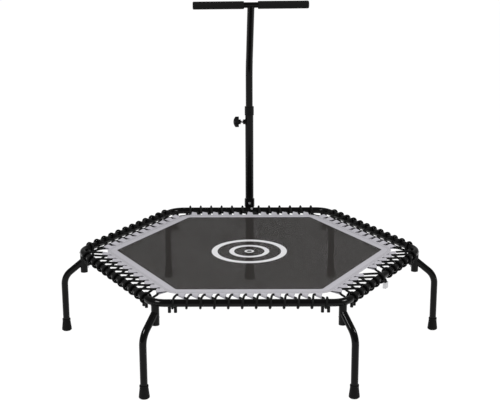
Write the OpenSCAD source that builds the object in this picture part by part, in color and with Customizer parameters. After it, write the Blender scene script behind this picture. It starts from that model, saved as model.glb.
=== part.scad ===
// Hexagonal fitness trampoline with a height-adjustable T handle.
// Millimetres, +Z up. The origin is on the floor under the centre of the mat.
// The handle post stands on the +Y side, and the front of the trampoline faces -Y.

/* [Frame] */
// Overall width of the rail across its rounded corners
across_corners = 1270; // [1000:10:1560]
// Height of the rail's centreline above the floor
rail_z = 314; // [250:2:400]
// Outer diameter of the rail tube
rail_d = 26; // [22:1:34]
// Wall thickness of the rail tube
rail_wall = 1.5; // [1:0.1:2.5]
// Bend radius of the rail's corners, at the tube's centreline
rail_bend_r = 70; // [50:1:90]

/* [Legs] */
// How far the upright part of each leg stands outside the rail's corner
leg_splay = 76; // [60:1:110]
// Outer diameter of a leg tube
leg_d = 25; // [19:1:30]
// Wall thickness of a leg tube
leg_wall = 1.5; // [1:0.1:2.5]
// Bend radius of a leg, at the tube's centreline
leg_bend_r = 66; // [45:1:80]
// Slope of a leg's upper end, in degrees below level
leg_slope = 40; // [30:1:50]
// Outer diameter of the sleeve under each corner
sleeve_d = 27; // [22:1:32]
// Wall thickness of the sleeve
sleeve_wall = 2; // [1.5:0.1:3]
// Length of the sleeve below the underside of the rail
sleeve_l = 67; // [55:1:90]
// Depth of a leg's joint with its sleeve below the underside of the rail
leg_join_l = 33; // [28:1:40]
// Length of the spigot inside the sleeve
spigot_l = 50; // [30:1:52]
// Shank diameter of the screw that holds a sleeve
leg_screw_d = 6; // [5:1:8]

/* [Feet] */
// Height of a rubber foot
foot_h = 46; // [30:1:60]
// How much wider than its tube a foot is at the floor
foot_flare = 12; // [8:1:20]
// Rubber thickness round the tube at a foot's top
foot_wall = 2; // [1.5:0.5:4]
// Rubber thickness under the tube's end
foot_base = 6; // [4:1:10]

/* [Mat] */
// Distance from the rail's centreline to the rope in the mat's tabs
rope_reach = 56; // [45:1:70]
// Width of the webbing band sewn round the mesh
band_w = 40; // [30:1:45]
// Corner radius of the band's outer edge
band_corner_r = 68; // [40:1:90]
// Thickness of the mesh
mesh_t = 1.5; // [1:0.1:3]
// Thickness of the webbing
web_t = 1.2; // [0.8:0.1:2]
// Height of the mesh above the rail's centreline
mat_rise = 3; // [0:0.5:6]
// Width of the webbing tunnel that the rope runs through
tab_w = 19; // [12:0.5:19]
// Distance from the band's edge to the rope in a tab
tab_reach = 23; // [16:0.5:30]

/* [Elastic rope] */
// Diameter of the rope
rope_d = 8; // [6:0.5:9]
// Least distance between two windings
winding_pitch = 43.5; // [43:0.5:60]
// Distance from the end of a straight rail to its first winding
winding_margin = 23; // [20:1:40]
// Space between the two middle windings, where nothing is in the way
middle_gap = 46; // [44:1:60]
// Space between the two middle windings at the handle post and at the rope clip
wide_gap = 68; // [60:1:90]

/* [Rope pegs and clip] */
// Diameter of a rope peg
peg_d = 11; // [8:0.5:11]
// Length of a peg below the underside of the rail
peg_l = 20; // [12:1:30]
// Distance between the two pegs of a pair
peg_pitch = 20; // [20:0.5:24]
// Height of the steel clip on the rope's ends
clip_h = 22; // [16:1:30]
// Distance of the clip from the middle of its side
clip_shift = 22; // [0:1:24]

/* [Handle post] */
// Outer diameter of the lower tube
post_d = 34; // [30:1:40]
// Wall thickness of the lower tube
post_wall = 2; // [1.5:0.1:2.4]
// Height of the lower tube's upper end
post_top_z = 742; // [600:2:850]
// Outer diameter of the upper tube
handle_d = 29; // [24:0.5:29]
// Wall thickness of the upper tube
handle_wall = 1.5; // [1:0.1:2]
// Height of the upper tube's lower end, with the handle at its usual height
handle_low_z = 430; // [400:2:500]
// Height at which the upper tube starts to bend
handle_bend_z = 870; // [850:2:1000]
// Bend radius of the upper tube, at its centreline
handle_bend_r = 180; // [120:5:260]
// Lean of the upper end towards the mat, in degrees
handle_lean = 24; // [0:1:35]
// Length of the leaning stretch, from the bend to the bar's centreline
handle_lean_l = 259; // [180:1:340]
// Angle the handle is turned to about the lower tube, in degrees
handle_aim = 4; // [-30:0.5:30]
// Outer diameter of the collar on the lower tube
collar_d = 38; // [37:0.5:44]
// Height of the collar
collar_h = 35; // [24:1:50]
// Height of the collar's lip above the lower tube
collar_lip = 9; // [4:1:14]
// Outer diameter of the bracket's ring
bracket_d = 42; // [40:0.5:50]
// Thickness of the bracket's saddle
saddle_t = 3.5; // [3:0.5:5]
// Length of the saddle along the rail
saddle_w = 36; // [24:1:40]

/* [Crossbar] */
// Diameter of the crossbar tube
bar_d = 22.2; // [19:0.1:25]
// Wall thickness of the crossbar tube
bar_wall = 1.5; // [1:0.1:2]
// Overall length of the crossbar with its grips
bar_l = 458; // [360:2:560]
// Outer diameter of a foam grip
grip_d = 31; // [28:0.5:36]
// Bare length of bar between the two grips
bar_bare = 56; // [40:1:90]
// Thickness of a grip's closed end
grip_end = 4; // [2:0.5:6]

/* [Clamp] */
// Height of the clamp screw
clamp_z = 687; // [560:1:700]
// Thread diameter of the clamp screw
screw_d = 10; // [8:1:10]
// Outer diameter of the welded nut
nut_d = 20; // [16:1:24]
// Length of the welded nut
nut_l = 9; // [7:0.5:14]
// Bare length of screw between the nut and the knob
screw_bare = 9; // [6:0.5:14]
// Diameter of the knob's head
knob_d = 44; // [36:1:52]
// Thickness of the knob's head
knob_h = 23; // [16:1:28]
// Diameter of the knob's hub
knob_hub_d = 20; // [16:0.5:22]
// Length of the knob's hub
knob_hub_l = 8; // [5:0.5:12]
// Grip lobes round the knob
knob_lobes = 7; // [5:1:9]
// Thickness of the pressure pad at the screw's tip
pad_t = 3; // [2.5:0.1:4]

/* [Hidden] */
$fn = 64;
// Clearance between pieces that are pressed, welded or screwed together
fit = 0.05;
// A straight tube is slimmer than the bend it runs into, and laps into it, by this much
slim = 0.02;
lap = 0.8;
// The same for the handle's leaning stretch, whose section lies at an odd angle
lean_slim = 0.25;
// Clearance between the rope and what it touches
rope_gap = 0.4;
SIDES = ["front", "right_front", "right_rear", "rear", "left_rear", "left_front"];
CORNERS = ["right", "rear_right", "rear_left", "left", "front_left", "front_right"];
// Which way the rope slants on each side, seen from outside
SLANT = [1, -1, -1, -1, 1, 1];
// Sides whose two middle windings stand wide apart
CLIP_SIDE = 1;
POST_SIDE = 3;

// Rail
half_angle = 30;
rail_r = rail_d / 2;
rounding_loss = 1 / cos(half_angle) - 1;
corner_r = across_corners / 2 - rail_r + rounding_loss * rail_bend_r;
rail_apothem = corner_r * cos(half_angle);
rail_half = corner_r / 2 - rail_bend_r * tan(half_angle);
bend_mid_r = corner_r - rounding_loss * rail_bend_r;
rail_under_z = rail_z - rail_r;

// Legs
leg_circle_r = bend_mid_r + leg_splay;
leg_r = leg_d / 2;
sleeve_r = sleeve_d / 2;
sleeve_bore_r = sleeve_r - sleeve_wall;
spigot_r = sleeve_bore_r - 2 * fit;
sleeve_z = rail_under_z - sleeve_l;
leg_join_z = rail_under_z - leg_join_l;
leg_run = leg_circle_r - leg_bend_r * (1 - sin(leg_slope)) - bend_mid_r - sleeve_r;
leg_upright_z = leg_join_z - leg_run * tan(leg_slope) - leg_bend_r * cos(leg_slope);
leg_screw_z = sleeve_z + 22;

// Mat
mat_z = rail_z + mat_rise;
rope_apothem = rail_apothem - rope_reach;
band_apothem = rope_apothem - tab_reach;
mesh_apothem = band_apothem - band_w;
mesh_corner_r = 12;
tab_outer_r = rope_d / 2 + rope_gap + web_t;

// Rope
rope_r = rope_d / 2;
rope_sides = 6;
winding_span = 2 * (rail_half - winding_margin);
windings = 2 * (1 + floor((winding_span - wide_gap) / 2 / winding_pitch));
wrap_step = 27;
wrap_r = (rail_r + rope_r + rope_gap) / cos(wrap_step / 2);
tab_angle = atan2(mat_rise, rope_reach);
tab_open = acos(wrap_r / norm([rope_reach, mat_rise]));
top_angle = tab_angle + tab_open;
low_angle = tab_angle - tab_open - 360;
wrap_lead = 5;
rope_bend = 8;
meet_in = 21;
meet_z = 2 - wrap_r;
clip_y = 2;
clip_top_z = -rail_r - 20;
tail_z = clip_top_z - clip_h - 4;

// Handle post
post_r = post_d / 2;
post_y = rail_apothem + rail_r + post_r + 6 * fit;
post_bore_r = post_r - post_wall;
handle_r = handle_d / 2;
handle_bend_top = handle_bend_z + handle_bend_r * sin(handle_lean);
handle_shift = handle_bend_r * (1 - cos(handle_lean)) + handle_lean_l * sin(handle_lean);
bar_y = post_y - handle_shift;
bar_z = handle_bend_top + handle_lean_l * cos(handle_lean);
bar_r = bar_d / 2;
grip_r = grip_d / 2;
grip_round = 5;
ring_z = rail_z + 10;
ring_h = 32;
plug_flange = 12;
plug_l = 22;

// Clamp
nut_x = post_r + nut_l;
hub_x = nut_x + screw_bare;
head_x = hub_x + knob_hub_l;
pad_x = handle_r + fit;

// ---------- helpers ----------

// Puts the children, made for the front side, on side k
module on_side(k) {
  rotate([0, 0, 60 * k]) children();
}

// Puts the children, made for the right-hand corner, on corner k
module on_corner(k) {
  rotate([0, 0, 60 * k]) children();
}

// Round tube along +Z from z0 to z1
module tube(d, wall, z0, z1) {
  difference() {
    translate([0, 0, z0]) cylinder(d = d, h = z1 - z0);
    translate([0, 0, z0 - 1]) cylinder(d = d - 2 * wall, h = z1 - z0 + 2);
  }
}

// Hexagon with its flat sides facing the rail's sides and round corners
module round_hexagon(apothem, r) {
  corner = (apothem - r) / cos(half_angle);
  flat_half = corner / 2;
  polygon([
    for (k = [0:5], s = [-1, 1])
      let (a = 60 * k)
      [s * flat_half * cos(a) + apothem * sin(a), s * flat_half * sin(a) - apothem * cos(a)]
  ]);
  for (k = [0:5])
    rotate([0, 0, 60 * k]) translate([corner, 0]) circle(r);
}

// ---------- rope path: [u, d, z] = along the side, inwards from the rail, above the rail ----------

function unit(v) = v / norm(v);

// Place of winding i along its side, with the two middle windings a given gap apart
function winding_u(i, gap) =
  let (half = windings / 2, step = (winding_span - gap) / 2 / (half - 1))
  i < half ? -winding_span / 2 + i * step : gap / 2 + (i - half) * step;

// One ring of points round the rail from angle a0 down to a1, moving along the side from u0 to u1
function wrap(u0, u1, a0, a1) =
  let (n = ceil(abs(a1 - a0) / wrap_step))
  [for (j = [0:n])
    let (a = a0 + (a1 - a0) * j / n, u = u0 + (u1 - u0) * j / n)
    [u, wrap_r * cos(a), wrap_r * sin(a)]];

// From the rail's top through a tab at ua..ub
function tab_run(ua, ub) =
  let (inset = rope_bend * (1 - cos(45)), mid = rope_bend * sin(45), near = rope_reach - rope_bend)
  [[ua, near, mat_rise], [ua + inset, near + mid, mat_rise], [ua + rope_bend, rope_reach, mat_rise],
   [ub - rope_bend, rope_reach, mat_rise], [ub - inset, near + mid, mat_rise], [ub, near, mat_rise]];

// Winding i: up round the outside of the rail and over its top
function winding(i, gap) =
  let (u = winding_u(i, gap))
  concat(
    wrap(u, u, low_angle + 360, -98),
    wrap(u + 1, u + wrap_lead, -125, top_angle - 360)
  );

// Windings i0 to i1 with the tabs between them
function winding_row(i0, i1, gap) =
  [for (i = [i0:i1])
    each concat(
      winding(i, gap),
      i < i1 ? tab_run(winding_u(i, gap) + wrap_lead + 3, winding_u(i + 1, gap) - 2) : []
    )];

// Point inside the corner where the ropes of two sides meet end to end, `back` before its plane,
// seen from side end s
function corner_meet(s, back) =
  [s * (corner_r / 2 - meet_in - back * cos(half_angle)),
   meet_in * tan(60) - back * sin(half_angle), meet_z];

// Arrival from the corner, between the pegs of the first winding
function rope_start() = let (u = -winding_span / 2) [
  corner_meet(-1, 0), corner_meet(-1, 8), [u - 9, 17.2, meet_z - 0.4], [u - 3, 13.6, 1.4 - wrap_r],
  [u, 9.4, 1.2 - wrap_r]];

// A last turn round the rail's inner side, then off to the next corner
function rope_finish() = let (u = winding_span / 2 + wrap_lead) concat(
  wrap(u + 1, u + 7, top_angle - 360 - wrap_step, -400),
  [[u + 9, 20, 3 - wrap_r], corner_meet(1, 8), corner_meet(1, 0)]);

// Rope end that drops from the rail's inner side straight into the clip
function tail_out(gap) =
  let (u = winding_u(windings / 2 - 1, gap) + wrap_lead, end = -clip_shift - rope_r - 0.5)
  concat(
    wrap(u + 1, u + 2.5, top_angle - 360 - wrap_step, -400),
    [[(u + 2.5 + end) / 2, 9, clip_top_z + 13.5], [end, 4.2, clip_top_z + 7.5],
     [end, clip_y, clip_top_z + 2], [end, clip_y, tail_z]]);

// Rope end that rises from the clip to the winding at the other side of the middle
function tail_in(gap) =
  let (u = winding_u(windings / 2, gap), end = rope_r + 0.5 - clip_shift)
  [[end, clip_y, tail_z], [end, clip_y, clip_top_z + 2], [end + 2, 4, clip_top_z + 7.5],
   [end + 9, 9, clip_top_z + 12], [u - 14, 12, -wrap_r - 1], [u - 5, 12, -wrap_r],
   [u - 1, 8, -wrap_r]];

// The rope's paths on side k: one run, or two that end in the clip
function rope_paths(k) =
  let (gap = k == CLIP_SIDE || k == POST_SIDE ? wide_gap : middle_gap, half = windings / 2)
  k == CLIP_SIDE
    ? [concat(rope_start(), winding_row(0, half - 1, gap), tail_out(gap)),
       concat(tail_in(gap), winding_row(half, windings - 1, gap), rope_finish())]
    : [concat(rope_start(), winding_row(0, windings - 1, gap), rope_finish())];

// Path points as millimetres on the front side, mirrored where the rope slants the other way
function placed(path, slant) =
  [for (p = path) [slant * p[0], p[1] - rail_apothem, p[2] + rail_z]];

// Round rope of rope_sides flats swept along points, with its section carried without twist
module rope_sweep(p) {
  n = len(p);
  tangents = [for (i = [0:n - 1]) unit(p[min(i + 1, n - 1)] - p[max(i - 1, 0)])];
  normals = [for (i = 0, v = cross(tangents[0], [0.3, 0.2, 1]); i < n; i = i + 1,
    v = i < n ? v - (v * tangents[i]) * tangents[i] : v) unit(v)];
  points = [for (i = [0:n - 1]) let (b = cross(tangents[i], normals[i]))
    for (j = [0:rope_sides - 1]) let (a = 360 * j / rope_sides)
      p[i] + rope_r * (cos(a) * normals[i] + sin(a) * b)];
  skin = [for (i = [0:n - 2], j = [0:rope_sides - 1])
    let (next = (j + 1) % rope_sides, a = i * rope_sides, b = (i + 1) * rope_sides)
    each [[a + j, b + j, b + next], [a + j, b + next, a + next]]];
  start_cap = [for (j = [0:rope_sides - 1]) j];
  end_cap = [for (j = [rope_sides - 1:-1:0]) (n - 1) * rope_sides + j];
  polyhedron(points = points, faces = concat([start_cap], skin, [end_cap]), convexity = 10);
}

// ---------- frame ----------

module frame_rail(k) {
  color("dimgray")
    on_side(k) translate([0, -rail_apothem, rail_z]) rotate([0, 90, 0])
      tube(rail_d, rail_wall, -rail_half, rail_half);
}

module frame_bend(k) {
  color("dimgray")
    on_corner(k) translate([bend_mid_r - rail_bend_r, 0, rail_z]) rotate([0, 0, -half_angle])
      rotate_extrude(angle = 2 * half_angle) translate([rail_bend_r, 0]) difference() {
        circle(rail_r);
        circle(rail_r - rail_wall);
      }
}

// Solid shape of the rail's corner, grown by g, for what seats against its underside
module bend_solid(g) {
  translate([bend_mid_r - rail_bend_r, 0, rail_z]) rotate([0, 0, -2 * half_angle])
    rotate_extrude(angle = 4 * half_angle) translate([rail_bend_r, 0]) circle(rail_r + g);
}

module leg_spigots() {
  color("gray")
    for (k = [0:5]) on_corner(k) difference() {
      translate([bend_mid_r, 0, 0])
        tube(2 * spigot_r, sleeve_wall, rail_under_z - spigot_l, rail_z);
      bend_solid(fit);
      leg_screw_hole();
    }
}

module leg_screw_hole() {
  translate([bend_mid_r - sleeve_r - 1, 0, leg_screw_z]) rotate([0, 90, 0])
    cylinder(r = leg_screw_d / 2 + fit, h = sleeve_r);
}

module leg_sleeves() {
  color("dimgray")
    for (k = [0:5]) on_corner(k) difference() {
      translate([bend_mid_r, 0, 0]) tube(sleeve_d, sleeve_wall, sleeve_z, rail_z - rail_r / 2);
      bend_solid(fit);
      leg_screw_hole();
    }
}

module leg_screws() {
  head_h = 3.5;
  color("silver")
    for (k = [0:5]) on_corner(k)
      translate([bend_mid_r - sleeve_r, 0, leg_screw_z]) rotate([0, 90, 0]) {
        translate([0, 0, -head_h]) cylinder(d = 2 * leg_screw_d, h = head_h);
        cylinder(d = leg_screw_d, h = 2 * sleeve_wall + 1);
      }
}

// Pieces of a leg's path with radius r: the upright, the bend and the sloping end
module leg_core(r, z0, reach) {
  translate([leg_circle_r, 0, z0]) cylinder(r = r - slim, h = leg_upright_z - z0 + lap);
  translate([leg_circle_r - leg_bend_r, 0, leg_upright_z]) rotate([90, 0, 0])
    rotate_extrude(angle = 90 - leg_slope) translate([leg_bend_r, 0]) circle(r);
  translate([leg_circle_r - leg_bend_r, 0, leg_upright_z]) rotate([0, -(90 - leg_slope), 0])
    translate([leg_bend_r, 0, -lap]) cylinder(r = r - slim, h = reach + lap);
}

module leg(k) {
  reach = (leg_run + sleeve_r) / cos(leg_slope);
  color("dimgray")
    on_corner(k) difference() {
      leg_core(leg_r, foot_base + fit, reach);
      leg_core(leg_r - leg_wall, foot_base - 1, reach + 5);
      translate([bend_mid_r, 0, sleeve_z - 50])
        cylinder(r = sleeve_r + fit, h = sleeve_l + 100);
    }
}

// Tapered rubber cup with a collar at its top, for a tube of diameter d
module rubber_foot(d) {
  top_r = d / 2 + foot_wall;
  low_r = (d + foot_flare) / 2;
  lip = 3;
  edge = 3;
  difference() {
    rotate_extrude() polygon([
      [0, 0], [low_r - edge, 0], [low_r, edge], [low_r, 2 * edge], [top_r, foot_h - 2 * lip],
      [top_r + 0.8, foot_h - 2 * lip], [top_r + 0.8, foot_h], [0, foot_h]
    ]);
    translate([0, 0, foot_base]) cylinder(r = d / 2 + fit, h = foot_h);
  }
}

module foot(k) {
  color("black")
    on_corner(k) translate([leg_circle_r, 0, 0]) rubber_foot(leg_d);
}

module rope_pegs() {
  color("dimgray")
    for (k = [0:5], s = [-1, 1], t = [-1, 1]) on_side(k) difference() {
      translate([s * winding_span / 2 + t * peg_pitch / 2, -rail_apothem, rail_under_z - peg_l])
        cylinder(d = peg_d, h = peg_l + rail_r / 2);
      translate([-rail_half, -rail_apothem, rail_z]) rotate([0, 90, 0])
        cylinder(r = rail_r + fit, h = 2 * rail_half);
    }
}

// ---------- elastic rope ----------

module elastic_rope(k) {
  color("black")
    on_side(k) for (path = rope_paths(k)) rope_sweep(placed(path, SLANT[k]));
}

// Folded steel block that grips the rope's two ends
module rope_clip() {
  wall = 2;
  color("silver")
    on_side(CLIP_SIDE)
      translate([-SLANT[CLIP_SIDE] * clip_shift, clip_y - rail_apothem, rail_z + clip_top_z - clip_h])
      difference() {
        translate([-rope_d - wall - 0.5, -rope_r - wall, 0])
          cube([2 * rope_d + 2 * wall + 1, rope_d + 2 * wall, clip_h]);
        for (s = [-1, 1]) translate([s * (rope_r + 0.5), 0, -1])
          cylinder(r = rope_r + rope_gap / 2, h = clip_h + 2);
      }
}

// ---------- mat ----------

module mat_mesh() {
  color("darkslategray")
    translate([0, 0, mat_z - mesh_t / 2]) linear_extrude(mesh_t)
      round_hexagon(band_apothem - 2, band_corner_r - 2);
}

module mat_band() {
  color("lightsteelblue")
    translate([0, 0, mat_z + mesh_t / 2]) linear_extrude(web_t) difference() {
      round_hexagon(band_apothem, band_corner_r);
      round_hexagon(mesh_apothem, mesh_corner_r);
    }
}

// Webbing loop sewn under the mat's edge, from the middle of the tunnel at u
module mat_tab(u) {
  root = 14;
  translate([u, -rope_apothem, mat_z]) difference() {
    union() {
      rotate([0, 90, 0]) translate([0, 0, -tab_w / 2]) cylinder(r = tab_outer_r, h = tab_w);
      translate([0, 0, -mesh_t / 2 - web_t]) linear_extrude(web_t)
        polygon([[-tab_w / 2, 0], [tab_w / 2, 0],
          [tab_w / 2 + 5, tab_reach + root], [-tab_w / 2 - 5, tab_reach + root]]);
    }
    rotate([0, 90, 0]) translate([0, 0, -tab_w]) cylinder(r = rope_r + rope_gap, h = 2 * tab_w);
  }
}

module mat_tabs(k) {
  gap = k == CLIP_SIDE || k == POST_SIDE ? wide_gap : middle_gap;
  color("silver")
    on_side(k) for (i = [0:windings - 2])
      if (k != CLIP_SIDE || i != windings / 2 - 1)
        mat_tab(SLANT[k] * (winding_u(i, gap) + winding_u(i + 1, gap) + wrap_lead + 1) / 2);
}

// ---------- handle post ----------

module post_tube() {
  color("dimgray")
    translate([0, post_y, 0]) difference() {
      tube(post_d, post_wall, foot_base + fit, post_top_z);
      translate([-post_r - 1, 0, clamp_z]) rotate([0, 90, 0])
        cylinder(r = screw_d / 2 + fit, h = post_r);
      ring_bolt_hole();
    }
}

module post_foot() {
  color("black") translate([0, post_y, 0]) rubber_foot(post_d);
}

// Hole of the short bolt in the ring's front, which ends inside the tube's wall
bolt_d = 6;

module ring_bolt_hole() {
  translate([0, 0, ring_z + ring_h * 0.62]) rotate([90, 0, 0])
    cylinder(r = bolt_d / 2 + fit, h = bracket_d);
}

// Ring round the post with a saddle over the rear rail
module post_bracket() {
  inner = rail_r + fit;
  color("dimgray")
    difference() {
      union() {
        translate([0, post_y, ring_z]) cylinder(d = bracket_d, h = ring_h);
        translate([-saddle_w / 2, rail_apothem, rail_z]) rotate([0, 90, 0])
          cylinder(r = inner + saddle_t, h = saddle_w);
      }
      translate([0, post_y, 0]) cylinder(r = post_r + fit, h = post_top_z);
      translate([-rail_half, rail_apothem, rail_z]) rotate([0, 90, 0])
        cylinder(r = inner, h = 2 * rail_half);
      translate([-saddle_w, rail_apothem - 2 * rail_r, rail_z - 2 * rail_r])
        cube([2 * saddle_w, 4 * rail_r, 2 * rail_r]);
      translate([0, post_y, 0]) ring_bolt_hole();
      saddle_bolt_at() translate([0, 0, -5]) cylinder(r = bolt_d / 2 + fit, h = 20);
    }
}

// Frame of the bolt that goes through the saddle's front into the rail, +Z outwards
module saddle_bolt_at() {
  translate([saddle_w / 4, rail_apothem, rail_z]) rotate([50, 0, 0])
    translate([0, 0, rail_r + fit]) children();
}

module bracket_bolts() {
  head_h = 4;
  color("silver") {
    translate([0, post_y - bracket_d / 2, ring_z + ring_h * 0.62]) rotate([90, 0, 0]) {
      cylinder(d = 10, h = head_h, $fn = 6);
      translate([0, 0, -post_wall - (bracket_d - post_d) / 2 + 0.5])
        cylinder(d = bolt_d, h = post_wall + (bracket_d - post_d) / 2);
    }
    saddle_bolt_at() {
      translate([0, 0, saddle_t + fit]) cylinder(d = 10, h = head_h, $fn = 6);
      cylinder(d = bolt_d, h = saddle_t + 1);
    }
  }
}

module post_collar() {
  color("black")
    translate([0, post_y, 0]) difference() {
      translate([0, 0, post_top_z + collar_lip - collar_h]) cylinder(d = collar_d, h = collar_h);
      cylinder(r = handle_r + fit, h = 2 * post_top_z);
      cylinder(r = post_r + fit, h = post_top_z + fit);
    }
}

module clamp_nut() {
  color("dimgray")
    translate([0, post_y, clamp_z]) rotate([0, -90, 0]) difference() {
      cylinder(d = nut_d, h = nut_x);
      translate([0, 0, -1]) cylinder(r = screw_d / 2 + fit, h = nut_x + 2);
      translate([-post_d, 0, 0]) rotate([0, 90, 0]) cylinder(r = post_r + fit, h = 2 * post_d);
    }
}

module clamp_pad() {
  color("ivory")
    translate([-pad_x, post_y, clamp_z]) rotate([0, -90, 0]) cylinder(d = screw_d - 0.2, h = pad_t);
}

module clamp_screw() {
  color("silver")
    translate([-pad_x - pad_t - fit, post_y, clamp_z]) rotate([0, -90, 0])
      cylinder(d = screw_d, h = head_x + knob_h / 2 - pad_x - pad_t);
}

module clamp_knob() {
  dome_r = knob_d * 0.72;
  flute_d = 9;
  color("dimgray")
    translate([0, post_y, clamp_z]) rotate([0, -90, 0]) difference() {
      union() {
        translate([0, 0, hub_x]) cylinder(d = knob_hub_d, h = knob_hub_l + 1);
        intersection() {
          translate([0, 0, head_x]) cylinder(d = knob_d, h = knob_h);
          translate([0, 0, head_x + knob_h - dome_r]) sphere(dome_r);
        }
      }
      for (i = [0:knob_lobes - 1]) rotate([0, 0, 360 * i / knob_lobes])
        translate([knob_d / 2 + 1.5, 0, head_x - 1]) cylinder(d = flute_d, h = knob_h + 2);
      cylinder(r = screw_d / 2 + fit, h = head_x + knob_h / 2 + 1);
    }
}

// ---------- handle ----------

// Plastic plug that guides the lower end of the upper tube
module handle_guide() {
  color("black")
    translate([0, post_y, handle_low_z - plug_flange - fit]) {
      cylinder(r = post_bore_r - fit, h = plug_flange);
      cylinder(r = handle_r - handle_wall - fit, h = plug_flange + plug_l);
    }
}

// Turns the handle about the lower tube's axis
module aimed() {
  translate([0, post_y, 0]) rotate([0, 0, handle_aim]) translate([0, -post_y, 0]) children();
}

// The upper tube's path with radius r, from z0, its sloping end cut off short of the bar by `stop`
module handle_core(r, z0, stop) {
  translate([0, post_y, z0]) cylinder(r = r - slim, h = handle_bend_z - z0 + lap);
  translate([0, post_y - handle_bend_r, handle_bend_z]) rotate([90, 0, 90])
    rotate_extrude(angle = handle_lean) translate([handle_bend_r, 0]) circle(r);
  translate([0, post_y - handle_bend_r, handle_bend_z]) rotate([handle_lean, 0, 0])
    translate([0, handle_bend_r, -lap])
      cylinder(r = r - lean_slim, h = handle_lean_l - stop + lap);
}

module handle_tube() {
  cap = 3;
  color("dimgray")
    aimed() difference() {
      handle_core(handle_r, handle_low_z, 0);
      handle_core(handle_r - handle_wall, handle_low_z - 1, bar_r + cap);
      translate([-bar_l / 2, bar_y, bar_z]) rotate([0, 90, 0]) cylinder(r = bar_r + fit, h = bar_l);
    }
}

module crossbar() {
  half = bar_l / 2 - grip_end - 2;
  color("dimgray")
    aimed() translate([0, bar_y, bar_z]) rotate([0, 90, 0]) tube(bar_d, bar_wall, -half, half);
}

module bar_plugs() {
  half = bar_l / 2 - grip_end - 2;
  color("black")
    aimed() for (s = [0, 180]) translate([0, bar_y, bar_z]) rotate([0, 90, s]) {
      translate([0, 0, half + fit]) cylinder(r = bar_r - 0.5, h = 2 - 2 * fit);
      translate([0, 0, half - 15]) cylinder(r = bar_r - bar_wall - fit, h = 16);
    }
}

// Foam grip on the +X half of the bar, closed and rounded at its outer end
module grip() {
  l = bar_l / 2 - bar_bare / 2;
  translate([0, bar_y, bar_z]) rotate([0, 90, 0]) translate([0, 0, bar_bare / 2])
    difference() {
      rotate_extrude() {
        square([grip_r - grip_round, l]);
        translate([0, 1]) square([grip_r, l - grip_round - 1]);
        square([grip_r - 1, 2]);
        intersection() {
          translate([grip_r - grip_round, l - grip_round]) circle(grip_round);
          square([grip_r, l]);
        }
      }
      translate([0, 0, -1]) cylinder(r = bar_r + fit, h = l - grip_end + 1);
    }
}

module grip_right() {
  color("darkslategray") aimed() grip();
}

module grip_left() {
  color("darkslategray") aimed() mirror([1, 0, 0]) grip();
}

// ---------- nodes ----------

for (k = [0:5]) frame_rail(k);
for (k = [0:5]) frame_bend(k);
leg_spigots();
leg_sleeves();
leg_screws();
rope_pegs();
rope_clip();
for (k = [0:5]) leg(k);
for (k = [0:5]) foot(k);
for (k = [0:5]) elastic_rope(k);
mat_mesh();
mat_band();
for (k = [0:5]) mat_tabs(k);
post_tube();
post_foot();
post_bracket();
bracket_bolts();
post_collar();
clamp_nut();
clamp_pad();
clamp_screw();
clamp_knob();
handle_guide();
handle_tube();
crossbar();
bar_plugs();
grip_left();
grip_right();
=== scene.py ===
# %% [markdown]
# # A hexagonal fitness trampoline with a T handle
# The real object is a bent steel tube frame, a woven mat hung inside it on one long elastic rope,
# and a handle that slides in a post at the back. The engineering model already holds every hard
# piece at its true size, so this file loads it, gives it finishes, and replaces what is soft:
# the mat, its webbing and the rope. Everything is in metres, with +Z up and the floor at zero.

# %% Load the engineering model
import math

import bpy
import numpy as np
from mathutils import Matrix, Vector


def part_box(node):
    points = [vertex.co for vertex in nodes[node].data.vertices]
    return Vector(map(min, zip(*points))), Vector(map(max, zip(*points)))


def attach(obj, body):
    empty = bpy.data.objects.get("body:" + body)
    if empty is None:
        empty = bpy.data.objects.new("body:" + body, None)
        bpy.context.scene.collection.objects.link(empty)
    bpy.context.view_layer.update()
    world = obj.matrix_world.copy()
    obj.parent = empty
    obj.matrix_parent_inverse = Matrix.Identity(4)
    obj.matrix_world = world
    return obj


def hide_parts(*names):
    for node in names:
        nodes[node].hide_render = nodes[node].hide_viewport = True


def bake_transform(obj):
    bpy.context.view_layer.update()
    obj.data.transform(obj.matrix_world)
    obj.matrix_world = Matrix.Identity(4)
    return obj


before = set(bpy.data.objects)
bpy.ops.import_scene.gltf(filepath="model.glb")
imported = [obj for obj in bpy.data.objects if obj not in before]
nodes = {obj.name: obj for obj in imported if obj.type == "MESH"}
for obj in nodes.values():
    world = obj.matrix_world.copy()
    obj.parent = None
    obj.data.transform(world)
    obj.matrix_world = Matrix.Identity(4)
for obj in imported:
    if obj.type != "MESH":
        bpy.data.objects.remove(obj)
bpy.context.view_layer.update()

# %% [markdown]
# ## Camera
# Something this wide is best seen from a little above the bar's height through a long lens, so
# that near and far legs keep nearly the same length. The camera's axes are written out from three
# small angles, because that keeps the roll apart from the aim.

# %% Camera
CAMERA_PLACE = (0.0124, -4.1779, 1.6846)
CAMERA_YAW, CAMERA_PITCH, CAMERA_ROLL = -0.00219, 0.27341, -0.00312
FOCAL_SHARE = 2.34248  # focal length as a share of the sensor's width
SENSOR_W = 36  # millimetres
FAR_CLIP = 50  # metres


def camera_axes(yaw, pitch, roll):
    """Right, up and backward axes of a camera that looks along +Y, turned by yaw, tipped down by
    pitch, and then rolled about its own view."""
    right = np.array([math.cos(yaw), -math.sin(yaw), 0])
    ahead = np.array([math.sin(yaw) * math.cos(pitch), math.cos(yaw) * math.cos(pitch), -math.sin(pitch)])
    up = np.cross(right, ahead)
    return (math.cos(roll) * right + math.sin(roll) * up,
            math.cos(roll) * up - math.sin(roll) * right,
            -ahead)


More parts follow.
